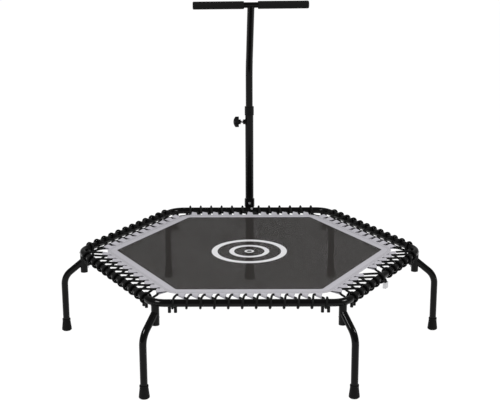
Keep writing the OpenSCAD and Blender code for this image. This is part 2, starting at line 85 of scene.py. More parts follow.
def make_camera():
    data = bpy.data.cameras.new("studio_camera")
    data.sensor_width = SENSOR_W
    data.lens = SENSOR_W * FOCAL_SHARE
    data.clip_end = FAR_CLIP
    camera = bpy.data.objects.new("studio_camera", data)
    turned = Matrix(np.array(camera_axes(CAMERA_YAW, CAMERA_PITCH, CAMERA_ROLL)).T.tolist())
    camera.matrix_world = Matrix.Translation(CAMERA_PLACE) @ turned.to_4x4()
    bpy.context.scene.collection.objects.link(camera)
    bpy.context.scene.camera = camera
    return camera


camera = make_camera()
print("camera lens", round(camera.data.lens, 1), "mm")

# %% [markdown]
# ## Shader maths as plain expressions
# A finish is a graph of small nodes. Wired by hand it is hard to read, so one class wraps a
# socket and turns its arithmetic and comparisons into Math nodes, and one method makes any
# other node. A pattern can then be written as the formula that a maker would use for it.

# %% Helpers for finishes
class Value:
    """A socket that carries a number over the surface. Arithmetic on it adds Math nodes."""

    def __init__(self, finish, socket):
        self.finish, self.socket = finish, socket

    def math(self, operation, *operands):
        return self.finish.node("Math", {"operation": operation}, dict(enumerate(operands)))

    def __add__(self, other):
        return self.math("ADD", self, other)

    def __mul__(self, other):
        return self.math("MULTIPLY", self, other)

    def __sub__(self, other):
        return self.math("SUBTRACT", self, other)

    def __rsub__(self, other):
        return self.math("SUBTRACT", other, self)

    def __mod__(self, other):
        return self.math("FLOORED_MODULO", self, other)

    def __lt__(self, other):
        return self.math("LESS_THAN", self, other)

    def __gt__(self, other):
        return self.math("GREATER_THAN", self, other)

    __radd__, __rmul__ = __add__, __mul__


class Finish:
    """One procedural material that ends in a Principled shader."""

    def __init__(self, name, **constants):
        self.material = bpy.data.materials.new(name)
        self.material.use_nodes = True
        self.tree = self.material.node_tree
        self.shader = next(n for n in self.tree.nodes if n.type == "BSDF_PRINCIPLED")
        self.set(**constants)

    def set(self, **sockets):
        """Sets or links the shader's sockets, named with underscores for their spaces."""
        for name, value in sockets.items():
            self.feed(self.shader.inputs[name.replace("_", " ")], value)

    def feed(self, socket, value):
        if isinstance(value, Value):
            self.tree.links.new(value.socket, socket)
        else:
            socket.default_value = value

    def node(self, kind, settings=None, inputs=None, output=0):
        """A node of the given kind: its settings first, then its sockets; returns one output."""
        made = self.tree.nodes.new("ShaderNode" + kind)
        for name, value in (settings or {}).items():
            setattr(made, name, value)
        for key, value in (inputs or {}).items():
            self.feed(made.inputs[key], value)
        return Value(self, made.outputs[output])

    def place(self, kind="Object"):
        """X, Y and Z of the surface point: Object coordinates in metres, or the piece's own UV."""
        where = self.node("TexCoord", output=kind)
        return [self.node("SeparateXYZ", {}, {0: where}, axis) for axis in "XYZ"]

    def noise(self, scale, detail, stretch=(1, 1, 1)):
        """Soft noise from 0 to 1: `scale` blotches to the metre, times `stretch` along each axis."""
        where = self.node("TexCoord", output="Object")
        scaled = self.node("Mapping", {}, {"Vector": where, "Scale": stretch})
        return self.node("TexNoise", {}, {"Vector": scaled, "Scale": scale, "Detail": detail}, "Fac")

    def mix(self, factor, low, high):
        """The colour `low` where factor is 0 and `high` where it is 1."""
        return self.node("Mix", {"data_type": "RGBA"}, {0: factor, 6: low, 7: high}, 2)

    def smooth(self, value, low, high):
        """0 up to low, 1 past high, and a smooth step in between. Low may be the larger one."""
        return self.node("MapRange", {"interpolation_type": "SMOOTHSTEP"}, {0: value, 1: low, 2: high})

    def bump(self, height, distance, strength=1.0):
        """A surface that stands `distance` metres proud where height is 1."""
        levels = {"Height": height, "Distance": distance, "Strength": strength}
        return self.node("Bump", {}, levels, "Normal")


def grey(level, tint=(1, 1, 1)):
    """A colour as linear light, from one level and a tint."""
    return tuple(level * t for t in tint) + (1,)


# %% [markdown]
# ## Painted and plated metal
# The tubes are powder coated: a black plastic skin, smooth, with a faint orange peel from the way
# the powder melts. Noise at two sizes does that, one for the peel and one for the soft patches in
# gloss. In a white room a real coat's reflection turns black into grey, so every black finish
# here has a low specular level, and its colour is nearly zero. The bolts and the clip are zinc
# plated, so they are metal with cloudy roughness.

# %% Black powder coat
WARM_BLACK = (1.05, 1.0, 0.97)
powder_coat = Finish("black_powder_coat", Specular_IOR_Level=0.14)
peel = powder_coat.noise(420, 1)
patches = powder_coat.noise(9, 3)
powder_coat.set(
    Base_Color=powder_coat.mix(patches, grey(0.0010, WARM_BLACK), grey(0.0025, WARM_BLACK)),
    Roughness=0.09 + 0.11 * patches,
    Normal=powder_coat.bump(peel, 0.00006),
)
print("powder coat", len(powder_coat.tree.nodes), "nodes")

# %% Zinc plate
zinc = Finish("zinc_plate", Metallic=1.0)
clouds = zinc.noise(160, 4)
zinc.set(
    Base_Color=zinc.mix(clouds, grey(0.42, (1, 1, 1.03)), grey(0.66, (1, 1, 1.02))),
    Roughness=0.22 + 0.25 * clouds,
    Normal=zinc.bump(zinc.noise(900, 2), 0.00003),
)
print("zinc plate", len(zinc.tree.nodes), "nodes")

# %% [markdown]
# ## Rubber, plastics and foam
# Foot rubber is matt with a fine grain from its mould. The knob is a satin plastic, the collar a
# darker one. Foam grips show open cells about a millimetre across, so a cell texture gives them
# their pits, and a little sheen gives the pale edge that foam has.

# %% Rubber
rubber = Finish("foot_rubber", Specular_IOR_Level=0.1)
grain = rubber.noise(1500, 2)
dust = rubber.noise(30, 3)
rubber.set(
    Base_Color=rubber.mix(dust, grey(0.0025), grey(0.006, WARM_BLACK)),
    Roughness=0.5 + 0.2 * dust,
    Normal=rubber.bump(grain, 0.00012),
)


# %% Plastics
def moulded_plastic(name, dark, light, tint, roughness, grain_height):
    """Moulded plastic: a colour between two levels, and a fine grain of the given height."""
    made = Finish(name, Specular_IOR_Level=0.12)
    flow = made.noise(45, 3)
    made.set(
        Base_Color=made.mix(flow, grey(dark, tint), grey(light, tint)),
        Roughness=roughness + 0.12 * flow,
        Normal=made.bump(made.noise(1300, 2), grain_height),
    )
    return made


collar_plastic = moulded_plastic("collar_plastic", 0.002, 0.004, (1, 1, 1), 0.34, 0.00004)
knob_plastic = moulded_plastic("knob_plastic", 0.003, 0.006, (1, 0.97, 1.06), 0.34, 0.00005)
pad_nylon = moulded_plastic("pad_nylon", 0.55, 0.66, (1, 0.98, 0.9), 0.4, 0.00003)

# %% Foam
foam = Finish("grip_foam", Specular_IOR_Level=0.12, Sheen_Weight=0.03, Sheen_Roughness=0.5)
CELLS_PER_METRE = 1100.0
foam_place = foam.node("TexCoord", output="Object")
cells = foam.node("TexVoronoi", {}, {"Vector": foam_place, "Scale": CELLS_PER_METRE}, "Distance")
worn = foam.noise(60, 3)
# The colour follows the cells: darker in each cell's pit and lighter on its walls, which is painted shade.
foam.set(
    Base_Color=foam.mix(cells, grey(0.002), grey(0.006)),
    Roughness=0.78 + 0.15 * worn,
    Normal=foam.bump(cells, 0.00025, 0.8),
)
print("finishes", [m.name for m in bpy.data.materials if m.use_nodes])

# %% [markdown]
# ## Give every hard piece its finish
# The engineering pieces keep their shape and get a finish by name. A list of name beginnings is
# enough, because each piece is named for what it is.

# %% Paint the engineering pieces
PAINT = {
    powder_coat: ["frame_", "leg_right", "leg_rear", "leg_left", "leg_front", "leg_sleeves", "leg_spigots",
                  "rope_pegs", "post_tube", "post_bracket", "clamp_nut", "handle_tube", "crossbar"],
    rubber: ["foot_", "post_foot"],
    zinc: ["leg_screws", "rope_clip", "bracket_bolts", "clamp_screw"],
    collar_plastic: ["post_collar", "handle_guide", "bar_plugs"],
    knob_plastic: ["clamp_knob"],
    pad_nylon: ["clamp_pad"],
    foam: ["grip_"],
}


def paint(finish, beginnings):
    """Gives the finish to every piece whose name starts with one of the beginnings."""
    painted = [piece for name, piece in nodes.items() if name.startswith(tuple(beginnings))]
    for piece in painted:
        piece.data.materials.clear()
        piece.data.materials.append(finish.material)
    print(finish.material.name, "on", len(painted), "pieces")


for finish, beginnings in PAINT.items():
    paint(finish, beginnings)

# %% [markdown]
# ## Surfaces from arrays
# Every new piece is a grid: rows along a path and columns round a section. The grid's points are
# computed as whole arrays, and the faces join each point to its neighbours in the next row. The
# same helper closes a ring or caps both ends, and stores the piece's own UV.

# %% Helper for grids
def grid_faces(rows, columns, loop, first=0):
    """Quads between neighbouring rows and columns of a grid whose points are numbered row by row
    from `first`. The last column joins the first, and so does the last row where it is a loop."""
    r, c = np.meshgrid(np.arange(rows if loop else rows - 1), np.arange(columns), indexing="ij")
    after, above = (c + 1) % columns, (r + 1) % rows
    quads = np.stack([r * columns + c, r * columns + after, above * columns + after, above * columns + c], -1)
    return quads.reshape(-1, 4) + first


def build_piece(name, points, finish, loop=False, uv=None):
    """One mesh from grids of the same size, points[grid, row, column, xyz]. The columns run round a
    closed section. The rows close on themselves in a loop, or else the first and the last row get
    one flat face each. uv[row, column] has one more column than the points, and one more row in a
    loop, so that the pattern closes at the seams."""
    points = np.asarray(points, float)
    points = points[None] if points.ndim == 3 else points
    grids, rows, columns, _ = points.shape
    starts = np.arange(grids) * rows * columns
    quads = np.concatenate([grid_faces(rows, columns, loop, s) for s in starts])
    ends = []
    if not loop:
        first_ring, last_ring = np.arange(columns)[::-1], (rows - 1) * columns + np.arange(columns)
        ends = [list(s + ring) for ring in (first_ring, last_ring) for s in starts]
    mesh = bpy.data.meshes.new(name)
    mesh.from_pydata(points.reshape(-1, 3).tolist(), [], quads.tolist() + ends)
    if uv is not None:
        lay_uv(mesh, uv, grids, rows + loop, columns, len(quads))
    mesh.polygons.foreach_set("use_smooth", np.arange(len(mesh.polygons)) < len(quads))
    return link_piece(name, mesh, finish)


def lay_uv(mesh, uv, grids, rows, columns, quad_count):
    """Writes uv[grid, row, column] to the four corners of each quad, and zero to the caps."""
    uv = np.broadcast_to(np.asarray(uv, float), (grids, rows, columns + 1, 2))
    corner = np.stack([uv[:, :-1, :-1], uv[:, :-1, 1:], uv[:, 1:, 1:], uv[:, 1:, :-1]], 3)
    flat = np.zeros((len(mesh.loops), 2), np.float32)
    flat[:quad_count * 4] = corner.reshape(-1, 2)
    mesh.uv_layers.new(name="along_and_across").data.foreach_set("uv", flat.ravel())


def grid_uv(u_of_column, v_of_row):
    """uv[row, column] from one U for each column and one V for each row."""
    return np.stack(np.broadcast_arrays(np.asarray(u_of_column)[None, :], np.asarray(v_of_row)[:, None]), -1)


def link_piece(name, mesh, finish):
    mesh.update()
    piece = bpy.data.objects.new(name, mesh)
    bpy.context.scene.collection.objects.link(piece)
    piece.data.materials.append(finish.material)
    print(f"{name}: {len(mesh.vertices)} points, {len(mesh.polygons)} faces")
    return piece


# %% [markdown]
# ## The frame's own sizes
# The rope, the mat and the welds all sit on the rail, so its sizes are read from the model once:
# the distance of a side from the centre, the tube's radius, its height and the corners' bend.

# %% Sizes of the rail and the mat
rail_low, rail_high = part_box("frame_rail_front")
RAIL_R = (rail_high.y - rail_low.y) / 2
RAIL_APOTHEM = -(rail_high.y + rail_low.y) / 2
RAIL_Z = (rail_high.z + rail_low.z) / 2
RAIL_HALF = rail_high.x
CORNER_R = RAIL_APOTHEM / math.cos(math.pi / 6)
BEND_R = (CORNER_R / 2 - RAIL_HALF) / math.tan(math.pi / 6)
BEND_MID_R = CORNER_R - (1 / math.cos(math.pi / 6) - 1) * BEND_R
band_low, band_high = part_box("mat_band")
BAND_APOTHEM = band_high.y
BAND_TOP, BAND_BOTTOM = band_high.z, band_low.z
SIDES = ["front", "right_front", "right_rear", "rear", "left_rear", "left_front"]
CORNERS = ["right", "rear_right", "rear_left", "left", "front_left", "front_right"]
print("rail", round(RAIL_APOTHEM, 4), round(RAIL_R, 4), round(RAIL_Z, 4), "bend", round(BEND_R, 4))


def on_side(points, k):
    """Turns points[..., (along, inwards, up)] of side k into the model's X, Y and Z: the front side
    turned k sixths of a circle about the centre."""
    a = k * math.pi / 3
    x, y = points[..., 0], points[..., 1] - RAIL_APOTHEM
    return np.stack([x * math.cos(a) - y * math.sin(a), x * math.sin(a) + y * math.cos(a),
                     points[..., 2] + RAIL_Z], -1)


# %% [markdown]
# ## Elastic rope
# One black braided rope winds round the rail and through the mat's tabs, about seventy times. The
# mat pulls it down when somebody jumps. Here it is a mesh, not a curve with a round bevel. The route
# is a short list of control points for each winding. A cubic B-spline rounds them, because a rope
# has no sharp corners, and even steps along its length keep the braid from stretching.

# %% Braided finish
BRAID_STRANDS, BRAID_PITCH = 8, 0.011
braid = Finish("braided_rope", Specular_IOR_Level=0.12, Sheen_Weight=0.02, Sheen_Roughness=0.4)
share_round, metres_along, _ = braid.place("UV")
turn = share_round * (math.tau * BRAID_STRANDS / 2)
advance = metres_along * (math.tau / BRAID_PITCH * 2)
right_hand = turn.math("SINE", turn + advance)
left_hand = turn.math("SINE", turn - advance)
plait = right_hand * left_hand * 0.5 + 0.5
fluff = braid.noise(2500, 2)
# The colour follows the plait's height: lighter on the strands' crowns and darker in the grooves between
# them, which is painted shade. The fluff is the fibres' own uneven tone.
braid.set(
    Base_Color=braid.mix(plait * 0.7 + fluff * 0.3, grey(0.001), grey(0.006)),
    Roughness=0.5 + 0.25 * fluff,
    Normal=braid.bump(plait, 0.0005, 0.7),
)
print("braid of", BRAID_STRANDS, "strands,", len(braid.tree.nodes), "nodes")

# %% Sizes of the route
ROPE_R, ROPE_CLEAR = 0.004, 0.0002
ROPE_REACH = 0.056  # from the rail's centreline to the rope in a tab
MAT_RISE = 0.003  # of the rope in a tab above the rail's centreline
WINDING_MARGIN, LEAST_PITCH = 0.023, 0.0435
NARROW_GAP, WIDE_GAP = 0.046, 0.068  # the middle gap of a side, wide where the clip or the post is
CLIP_SIDE, POST_SIDE, CLIP_SHIFT = 1, 3, 0.022
SLANTS = [1, -1, -1, -1, 1, 1]  # which way the windings of each side lean
WRAP_STEP = math.radians(27)
# A B-spline cuts its corners, so the control points lie a little outside the rope's own middle line.
WRAP_R = (RAIL_R + ROPE_R + ROPE_CLEAR) / (1 - (1 - math.cos(WRAP_STEP)) / 3)
WRAP_LEAD = 0.005  # how far a winding moves on along the rail
WRAP_SHIFT = 0.001  # where its second half starts to move on
TURN_IN = 0.008  # the bend where the rope enters or leaves a tab
TAB_AFTER, TAB_BEFORE = 0.003, 0.002  # from a winding to the next tab, and from a tab to a winding
TAB_TIP_IN, TAB_TIP_UP = 0.005, 0.004  # how far a tab's two ends are pulled apart
span = 2 * (RAIL_HALF - WINDING_MARGIN)
WINDINGS = 2 * (1 + int((span - WIDE_GAP) / 2 / LEAST_PITCH))
tab_angle = math.atan2(MAT_RISE, ROPE_REACH)
opening = math.acos(WRAP_R / math.hypot(ROPE_REACH, MAT_RISE))
TOP_ANGLE, LOW_ANGLE = tab_angle + opening, tab_angle - opening  # where the rope touches the rail
UNDER_ANGLES = math.radians(-98), math.radians(-125)  # before and after the rail's underside
END_ANGLE = math.radians(-400)  # where the last winding leaves the rail
MEET_IN, MEET_UP = 0.021, 0.002  # inside the rail, where two sides' ropes meet
CORNER_STEPS = (-0.016, -0.008, 0, 0.008, 0.016)  # before and past that place
CLIP_TOP = -RAIL_R - 0.020
CLIP_DROPS = (0.002, -0.008, -0.018, -0.028)  # heights in the clip, from its top
CLIP_IN, TAIL_GAP = 0.002, 0.0005  # the clip lies a little inwards, and keeps the two ends apart
print(WINDINGS, "windings a side over", round(span, 3), "m")


# %% Route of the rope
def winding_places(gap):
    """Places of the windings along a side: two even rows, with `gap` between them in the middle."""
    row = np.linspace(-span / 2, -gap / 2, WINDINGS // 2)
    return np.concatenate([row, -row[::-1]])


def wrap(u0, u1, a0, a1):
    """Control points round the rail: (u, R cos a, R sin a), with u and a running evenly."""
    n = int(math.ceil(abs(a1 - a0) / WRAP_STEP))
    a, u = np.linspace(a0, a1, n + 1), np.linspace(u0, u1, n + 1)
    return np.stack([u, WRAP_R * np.cos(a), WRAP_R * np.sin(a)], -1)


def tab_run(ua, ub):
    """Through a tab: in at its upper end, along the tunnel, and out at its lower end."""
    bend = np.array([[0, -1], [0.293, -0.293], [1, 0]]) * TURN_IN
    back = bend[::-1]
    upper = [ua + bend[:, 0], ROPE_REACH + TAB_TIP_IN + bend[:, 1], [MAT_RISE + TAB_TIP_UP] * 3]
    lower = [ub - back[:, 0], ROPE_REACH - TAB_TIP_IN + back[:, 1], [MAT_RISE - TAB_TIP_UP] * 3]
    return np.concatenate([np.stack(upper, -1), np.stack(lower, -1)])


def winding(u):
    """Under the rail at u, up round its outside and over its top, a little further along."""
    return np.concatenate([wrap(u, u, LOW_ANGLE, UNDER_ANGLES[0]),
                           wrap(u + WRAP_SHIFT, u + WRAP_LEAD, UNDER_ANGLES[1], TOP_ANGLE - math.tau)])


def last_winding(u, lead):
    """From the rail's top at u down its inner side, `lead` further along."""
    return wrap(u + WRAP_SHIFT, u + lead, TOP_ANGLE - math.tau - WRAP_STEP, END_ANGLE)


def winding_row(places):
    """Windings at the given places with a tab between each two."""
    parts = [winding(places[0])]
    for before, after in zip(places[:-1], places[1:]):
        parts += [tab_run(before + WRAP_LEAD + TAB_AFTER, after - TAB_BEFORE), winding(after)]
    return np.concatenate(parts)


def corner_meet(end, back):
    """Inside the corner, on the line from it to the centre, or `back` before that line."""
    return [end * (CORNER_R / 2 - MEET_IN - back * math.cos(math.pi / 6)),
            MEET_IN * math.tan(math.pi / 3) - back / 2, MEET_UP - WRAP_R]


def rope_start():
    """From past the corner to the first winding."""
    u = -span / 2
    return np.array([corner_meet(-1, back) for back in CORNER_STEPS]
                    + [[u - 0.009, 0.0172, 0.0016 - WRAP_R], [u - 0.003, 0.0136, 0.0014 - WRAP_R],
                       [u, 0.0094, 0.0012 - WRAP_R]])


def rope_finish():
    """From the last winding down the rail's inner side and past the next corner."""
    u = span / 2 + WRAP_LEAD
    return np.concatenate([last_winding(u, 0.007), [[u + 0.009, 0.020, 0.003 - WRAP_R]],
                           [corner_meet(1, back) for back in reversed(CORNER_STEPS)]])


def tail_out(u):
    """From the winding at u down into the clip."""
    end = -CLIP_SHIFT - ROPE_R - TAIL_GAP
    return np.concatenate([last_winding(u, 0.0025), [[(u + 0.0025 + end) / 2, 0.009, CLIP_TOP + 0.0135],
                                                     [end, 0.0042, CLIP_TOP + 0.0075]],
                           [[end, CLIP_IN, CLIP_TOP + drop] for drop in CLIP_DROPS]])


def tail_in(u):
    """From the clip up to the winding at u."""
    end = ROPE_R + TAIL_GAP - CLIP_SHIFT
    return np.array([[end, CLIP_IN, CLIP_TOP + drop] for drop in reversed(CLIP_DROPS)]
                    + [[end + 0.002, 0.004, CLIP_TOP + 0.0075], [end + 0.009, 0.009, CLIP_TOP + 0.012],
                       [u - 0.014, 0.012, -WRAP_R - 0.001], [u - 0.005, 0.012, -WRAP_R],
                       [u - 0.001, 0.008, -WRAP_R]])


# %% Smooth lines and round tubes
def spline(control, step):
    """Uniform cubic B-spline: each stretch is the four nearest control points weighted by
    (1-t)^3/6, (3t^3-6t^2+4)/6, (-3t^3+3t^2+3t+1)/6 and t^3/6, then resampled at even steps."""
    t = np.linspace(0, 1, 12, endpoint=False)[:, None]
    weights = [(1 - t) ** 3 / 6, (3 * t**3 - 6 * t**2 + 4) / 6,
               (-3 * t**3 + 3 * t**2 + 3 * t + 1) / 6, t**3 / 6]
    stretches = sum(w * control[i:len(control) - 3 + i, None, :] for i, w in enumerate(weights))
    line = stretches.reshape(-1, 3)
    length = np.concatenate([[0], np.cumsum(np.linalg.norm(np.diff(line, axis=0), axis=1))])
    even = np.linspace(0, length[-1], int(length[-1] / step) + 1)
    return np.stack([np.interp(even, length, line[:, i]) for i in range(3)], -1), even


def carried_frames(line, closed=False):
    """Two unit vectors square to the line at each point. The first is carried from ring to ring
    with the least turn: what it gains along the new tangent is taken away again."""
    ahead = np.gradient(line, axis=0)
    if closed:
        ahead = np.roll(line, -1, 0) - np.roll(line, 1, 0)
    ahead /= np.linalg.norm(ahead, axis=1)[:, None]
    first = np.empty_like(line)
    v = np.cross(ahead[0], [0.3, 0.2, 1.0])
    for i, a in enumerate(ahead):
        v = v - (v @ a) * a
        v = v / np.linalg.norm(v)
        first[i] = v
    return first, np.cross(ahead, first)


def tube_rings(line, radius, sides):
    """A circle about each point of the line: point + r (cos a N + sin a B)."""
    first, second = carried_frames(line)
    a = np.linspace(0, math.tau, sides, endpoint=False)[None, :, None]
    return line[:, None] + radius * (np.cos(a) * first[:, None] + np.sin(a) * second[:, None])


def tube_uv(lengths, sides):
    """U is the share of the way round and V the metres along."""
    return grid_uv(np.linspace(0, 1, sides + 1), lengths)


# %% Wind the rope
ROPE_STEP, ROPE_SIDES = 0.0024, 14
FIRST_CUT, LAST_CUT = 0.0035, 0.0085  # past the end windings, where a corner strand takes over


def side_gap(k):
    """The gap between the two rows of windings on side k."""
    return WIDE_GAP if k in (CLIP_SIDE, POST_SIDE) else NARROW_GAP


def side_runs(k):
    """The rope's runs on side k, each as (control points, ends at the first corner, at the last)."""
    places = winding_places(side_gap(k))
    if k != CLIP_SIDE:
        return [(np.concatenate([rope_start(), winding_row(places), rope_finish()]), True, True)]
    before, after = np.split(places, 2)
    into_clip = [rope_start(), winding_row(before), tail_out(before[-1] + WRAP_LEAD)]
    from_clip = [tail_in(after[0]), winding_row(after), rope_finish()]
    return [(np.concatenate(into_clip), True, False), (np.concatenate(from_clip), False, True)]


def cut_at_corner(line, end):
    """Index of the point where the line crosses the plane from the corner to the centre."""
    past = end * line[:, 0] + line[:, 1] / math.tan(math.pi / 3) > CORNER_R / 2
    return np.flatnonzero(~past)[0 if end < 0 else -1]


def rope_of_side(k):
    """Lines of side k: the windings, and the loose strand at each end, keyed by the side's end. A
    line is its points and its lengths so far."""
    windings, strands = [], {}
    for control, first, last in side_runs(k):
        line, lengths = spline(control, ROPE_STEP)
        start, stop = 0, len(line)
        if first:
            near = cut_at_corner(line, -1)
            start = np.flatnonzero(line[:, 0] > -span / 2 - FIRST_CUT)[0]
            strands[-SLANTS[k]] = (line[near:start + 1], lengths[near:start + 1])
        if last:
            near = cut_at_corner(line, 1) + 1
            stop = np.flatnonzero(line[:, 0] < span / 2 + WRAP_LEAD + LAST_CUT)[-1] + 1
            strands[SLANTS[k]] = (line[stop - 1:near], lengths[stop - 1:near])
        windings.append((line[start:stop], lengths[start:stop]))
    return windings, strands


def rope_piece(name, runs, k_of_run):
    """One mesh from several runs of rope, each placed on its own side."""
    parts = []
    for (line, lengths), k in zip(runs, k_of_run):
        flipped = line * [SLANTS[k], 1, 1]
        parts.append((tube_rings(on_side(flipped, k), ROPE_R, ROPE_SIDES), tube_uv(lengths, ROPE_SIDES)))
    pieces = [build_piece(f"{name}_{i}", rings, braid, uv=uv) for i, (rings, uv) in enumerate(parts)]
    return join(name, pieces)


def join(name, pieces):
    """Joins meshes into the first one and names it."""
    with bpy.context.temp_override(active_object=pieces[0], object=pieces[0], selected_objects=pieces,
                                   selected_editable_objects=pieces):
        bpy.ops.object.join()
    pieces[0].name = pieces[0].data.name = name
    return pieces[0]


# %% Rope pieces
STRETCH_FROM, STRETCH_SHORT = 0.0225, 0.004  # the rope stretches between the rail and the tabs
all_windings, all_strands = zip(*(rope_of_side(k) for k in range(6)))
for k, side in enumerate(SIDES):
    rope = rope_piece(f"rope_{side}", all_windings[k], [k] * len(all_windings[k]))
    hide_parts(f"elastic_rope_{side}")
    stretch = np.array([[0, STRETCH_FROM, 0], [0, ROPE_REACH - TAB_TIP_IN - STRETCH_SHORT, 0]])
    at_rail, at_tab = on_side(stretch, k)
    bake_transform(rope)
for c, corner in enumerate(CORNERS):
    before, after = (c + 1) % 6, (c + 2) % 6
    halves = [all_strands[before][1], all_strands[after][-1]]
    strand = rope_piece(f"corner_strand_{corner}", halves, [before, after])
    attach(strand, "frame")

# %% [markdown]
# ## Webbing band and tabs
# A flat woven band is sewn round the mesh. Its inner edge is a hexagon with nearly sharp corners
# and its outer edge has wide round ones, so the surface is a blend between those two outlines
# with a rounded strip as its section. Two rows of stitches run round it. They are drawn in the
# finish from the UV, which is in metres: a dash every few millimetres, sunk into the webbing.

# %% Outlines of the mat
def hexagon_outline(apothem, corner_radius, arc_steps=12, side_steps=24):
    """Hexagon with flat sides at +Y and -Y and round corners, anticlockwise: for each corner an arc
    of a sixth of a turn, then even steps along the side after it."""
    middle = (apothem - corner_radius) / math.cos(math.pi / 6)
    corner = np.arange(6)[:, None] * math.pi / 3
    turn = np.linspace(-math.pi / 6, math.pi / 6, arc_steps + 1)[None, :] + corner
    arc = np.stack([middle * np.cos(corner) + corner_radius * np.cos(turn),
                    middle * np.sin(corner) + corner_radius * np.sin(turn)], -1)
    t = np.linspace(0, 1, side_steps + 1)[1:-1][None, :, None]
    side = arc[:, -1:] * (1 - t) + np.roll(arc, -1, 0)[:, :1] * t
    return np.concatenate([arc, side], 1).reshape(-1, 2)


def distance_along(outline):
    """Metres from the first point along a closed outline, with the whole length at the end."""
    step = np.linalg.norm(np.roll(outline, -1, 0) - outline, axis=1)
    return np.concatenate([[0], np.cumsum(step)])


# %% Webbing finish
BAND_W = 0.040
WEBBING_LEVEL, WEBBING_TINT = 0.43, (1.0, 0.975, 1.06)
RIB_PITCH, TWILL_PITCH = 0.0016, 0.0021
STITCH_ROWS = (0.0275, 0.0335)
STITCH_PITCH, STITCH_SHARE, THREAD_R = 0.0042, 0.62, 0.0009
SHADED_EDGE = (0.0022, 0.0012)  # metres from the band's inner edge where its dark line fades in


def webbing_finish(name, stitched):
    """Woven webbing: ribs across, a twill line along, and dashes of thread where it is sewn."""
    made = Finish(name, Specular_IOR_Level=0.3, Sheen_Weight=0.25, Sheen_Roughness=0.5)
    across, along, _ = made.place("UV")
    ribs = across.math("SINE", (across + along * 0.35) * (math.tau / RIB_PITCH)) * 0.5 + 0.5
    twill = across.math("SINE", (along - across * 0.6) * (math.tau / TWILL_PITCH)) * 0.5 + 0.5
    weave = ribs * 0.6 + twill * 0.4
    webbing_blotches = made.noise(28, 3)
    dark, light = grey(WEBBING_LEVEL * 0.86, WEBBING_TINT), grey(WEBBING_LEVEL * 1.1, WEBBING_TINT)
    # The weave sets both the colour and the bump, so the colour is darker in the weave's hollows: painted
    # shade. The noise mixed in is the webbing's own uneven tone, and it also varies the roughness.
    colour = made.mix(weave * 0.55 + webbing_blotches * 0.45, dark, light)
    height = weave
    if stitched:
        for row in STITCH_ROWS:
            near = across.math("ABSOLUTE", across - row)
            thread = (near < THREAD_R) * ((along % STITCH_PITCH) < STITCH_PITCH * STITCH_SHARE)
            colour = made.mix(thread * 0.85, colour, grey(WEBBING_LEVEL * 0.18))
            height = height - made.smooth(near, 2 * THREAD_R, 0.0004) * 1.2
        edge = made.smooth(across, *SHADED_EDGE)
        colour = made.mix(edge * 0.9, colour, grey(0.02))
    made.set(Base_Color=colour, Roughness=0.72 + 0.15 * webbing_blotches, Normal=made.bump(height, 0.00018, 0.8))
    print(name, len(made.tree.nodes), "nodes")
    return made


band_webbing = webbing_finish("band_webbing", True)
tab_webbing = webbing_finish("tab_webbing", False)


# %% Band
def strip_section(width, thickness, edge_steps=3, top_points=8):
    """Flat strip with half-round edges, as (across, up) pairs round a closed loop: across runs from
    0 to width and up from 0 to thickness."""
    r = thickness / 2
    a = np.linspace(-math.pi / 2, math.pi / 2, edge_steps + 1)
    outer = np.stack([width - r + r * np.cos(a), r + r * np.sin(a)], -1)
    inner = np.stack([r - r * np.cos(a), r - r * np.sin(a)], -1)
    top = np.stack([np.linspace(width - r, r, top_points + 2)[1:-1], np.full(top_points, thickness)], -1)
    return np.concatenate([outer, top, inner])


def raised(flat, heights):
    """Outlines flat[row, column, xy], each lifted to its own height."""
    return np.concatenate([flat, np.broadcast_to(heights[:, None, None], flat.shape[:2] + (1,))], -1)


INNER_CORNER, OUTER_CORNER = 0.012, 0.068
inner_outline = hexagon_outline(BAND_APOTHEM - BAND_W, INNER_CORNER)
outer_outline = hexagon_outline(BAND_APOTHEM, OUTER_CORNER)
section = strip_section(BAND_W, BAND_TOP - BAND_BOTTOM)
share = (section[:, 0] / BAND_W)[:, None, None]
band_points = raised(inner_outline * (1 - share) + outer_outline * share, section[:, 1] + BAND_BOTTOM)
run = distance_along((inner_outline + outer_outline) / 2)
band_uv = np.stack(np.broadcast_arrays(section[:, :1], run[None, :]), -1)
band_uv = np.concatenate([band_uv, band_uv[:1]])
band = build_piece("band", band_points, band_webbing, loop=True, uv=band_uv)
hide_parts("mat_band")
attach(band, "mat")

# %% [markdown]
# ## Tabs
# Between two windings the webbing reaches out, folds round the rope and is sewn down again under
# the band. The rope comes in over the rail and leaves under it, so it lifts one end of each tab
# and pulls the other end down and out. A tab is a thin strip carried along a U: out along the top,
# round the rope, and back underneath.

# %% Tabs
TAB_W, TAB_REACH, TAB_ROOT, WEB_T = 0.019, 0.023, 0.014, 0.0012
TAB_FLARE = 0.005  # how much wider each half of a tab is at its root
TAB_FOLLOW = 0.8  # the share of the rope's slant that a tab takes
TAB_CLEAR = 0.0004  # between the rope and the webbing round it
TAB_LAP, UNDER_DROP = 0.002, 0.0024  # over the band's edge, and from its underside to the root
FACE_GAP = 0.0001  # keeps the tab's face and the band's out of one plane
FOLD = (math.radians(70), math.radians(290))
TAB_AROUND, TAB_LENGTH = 0.04, 0.07  # the UV's run round the strip and along the U


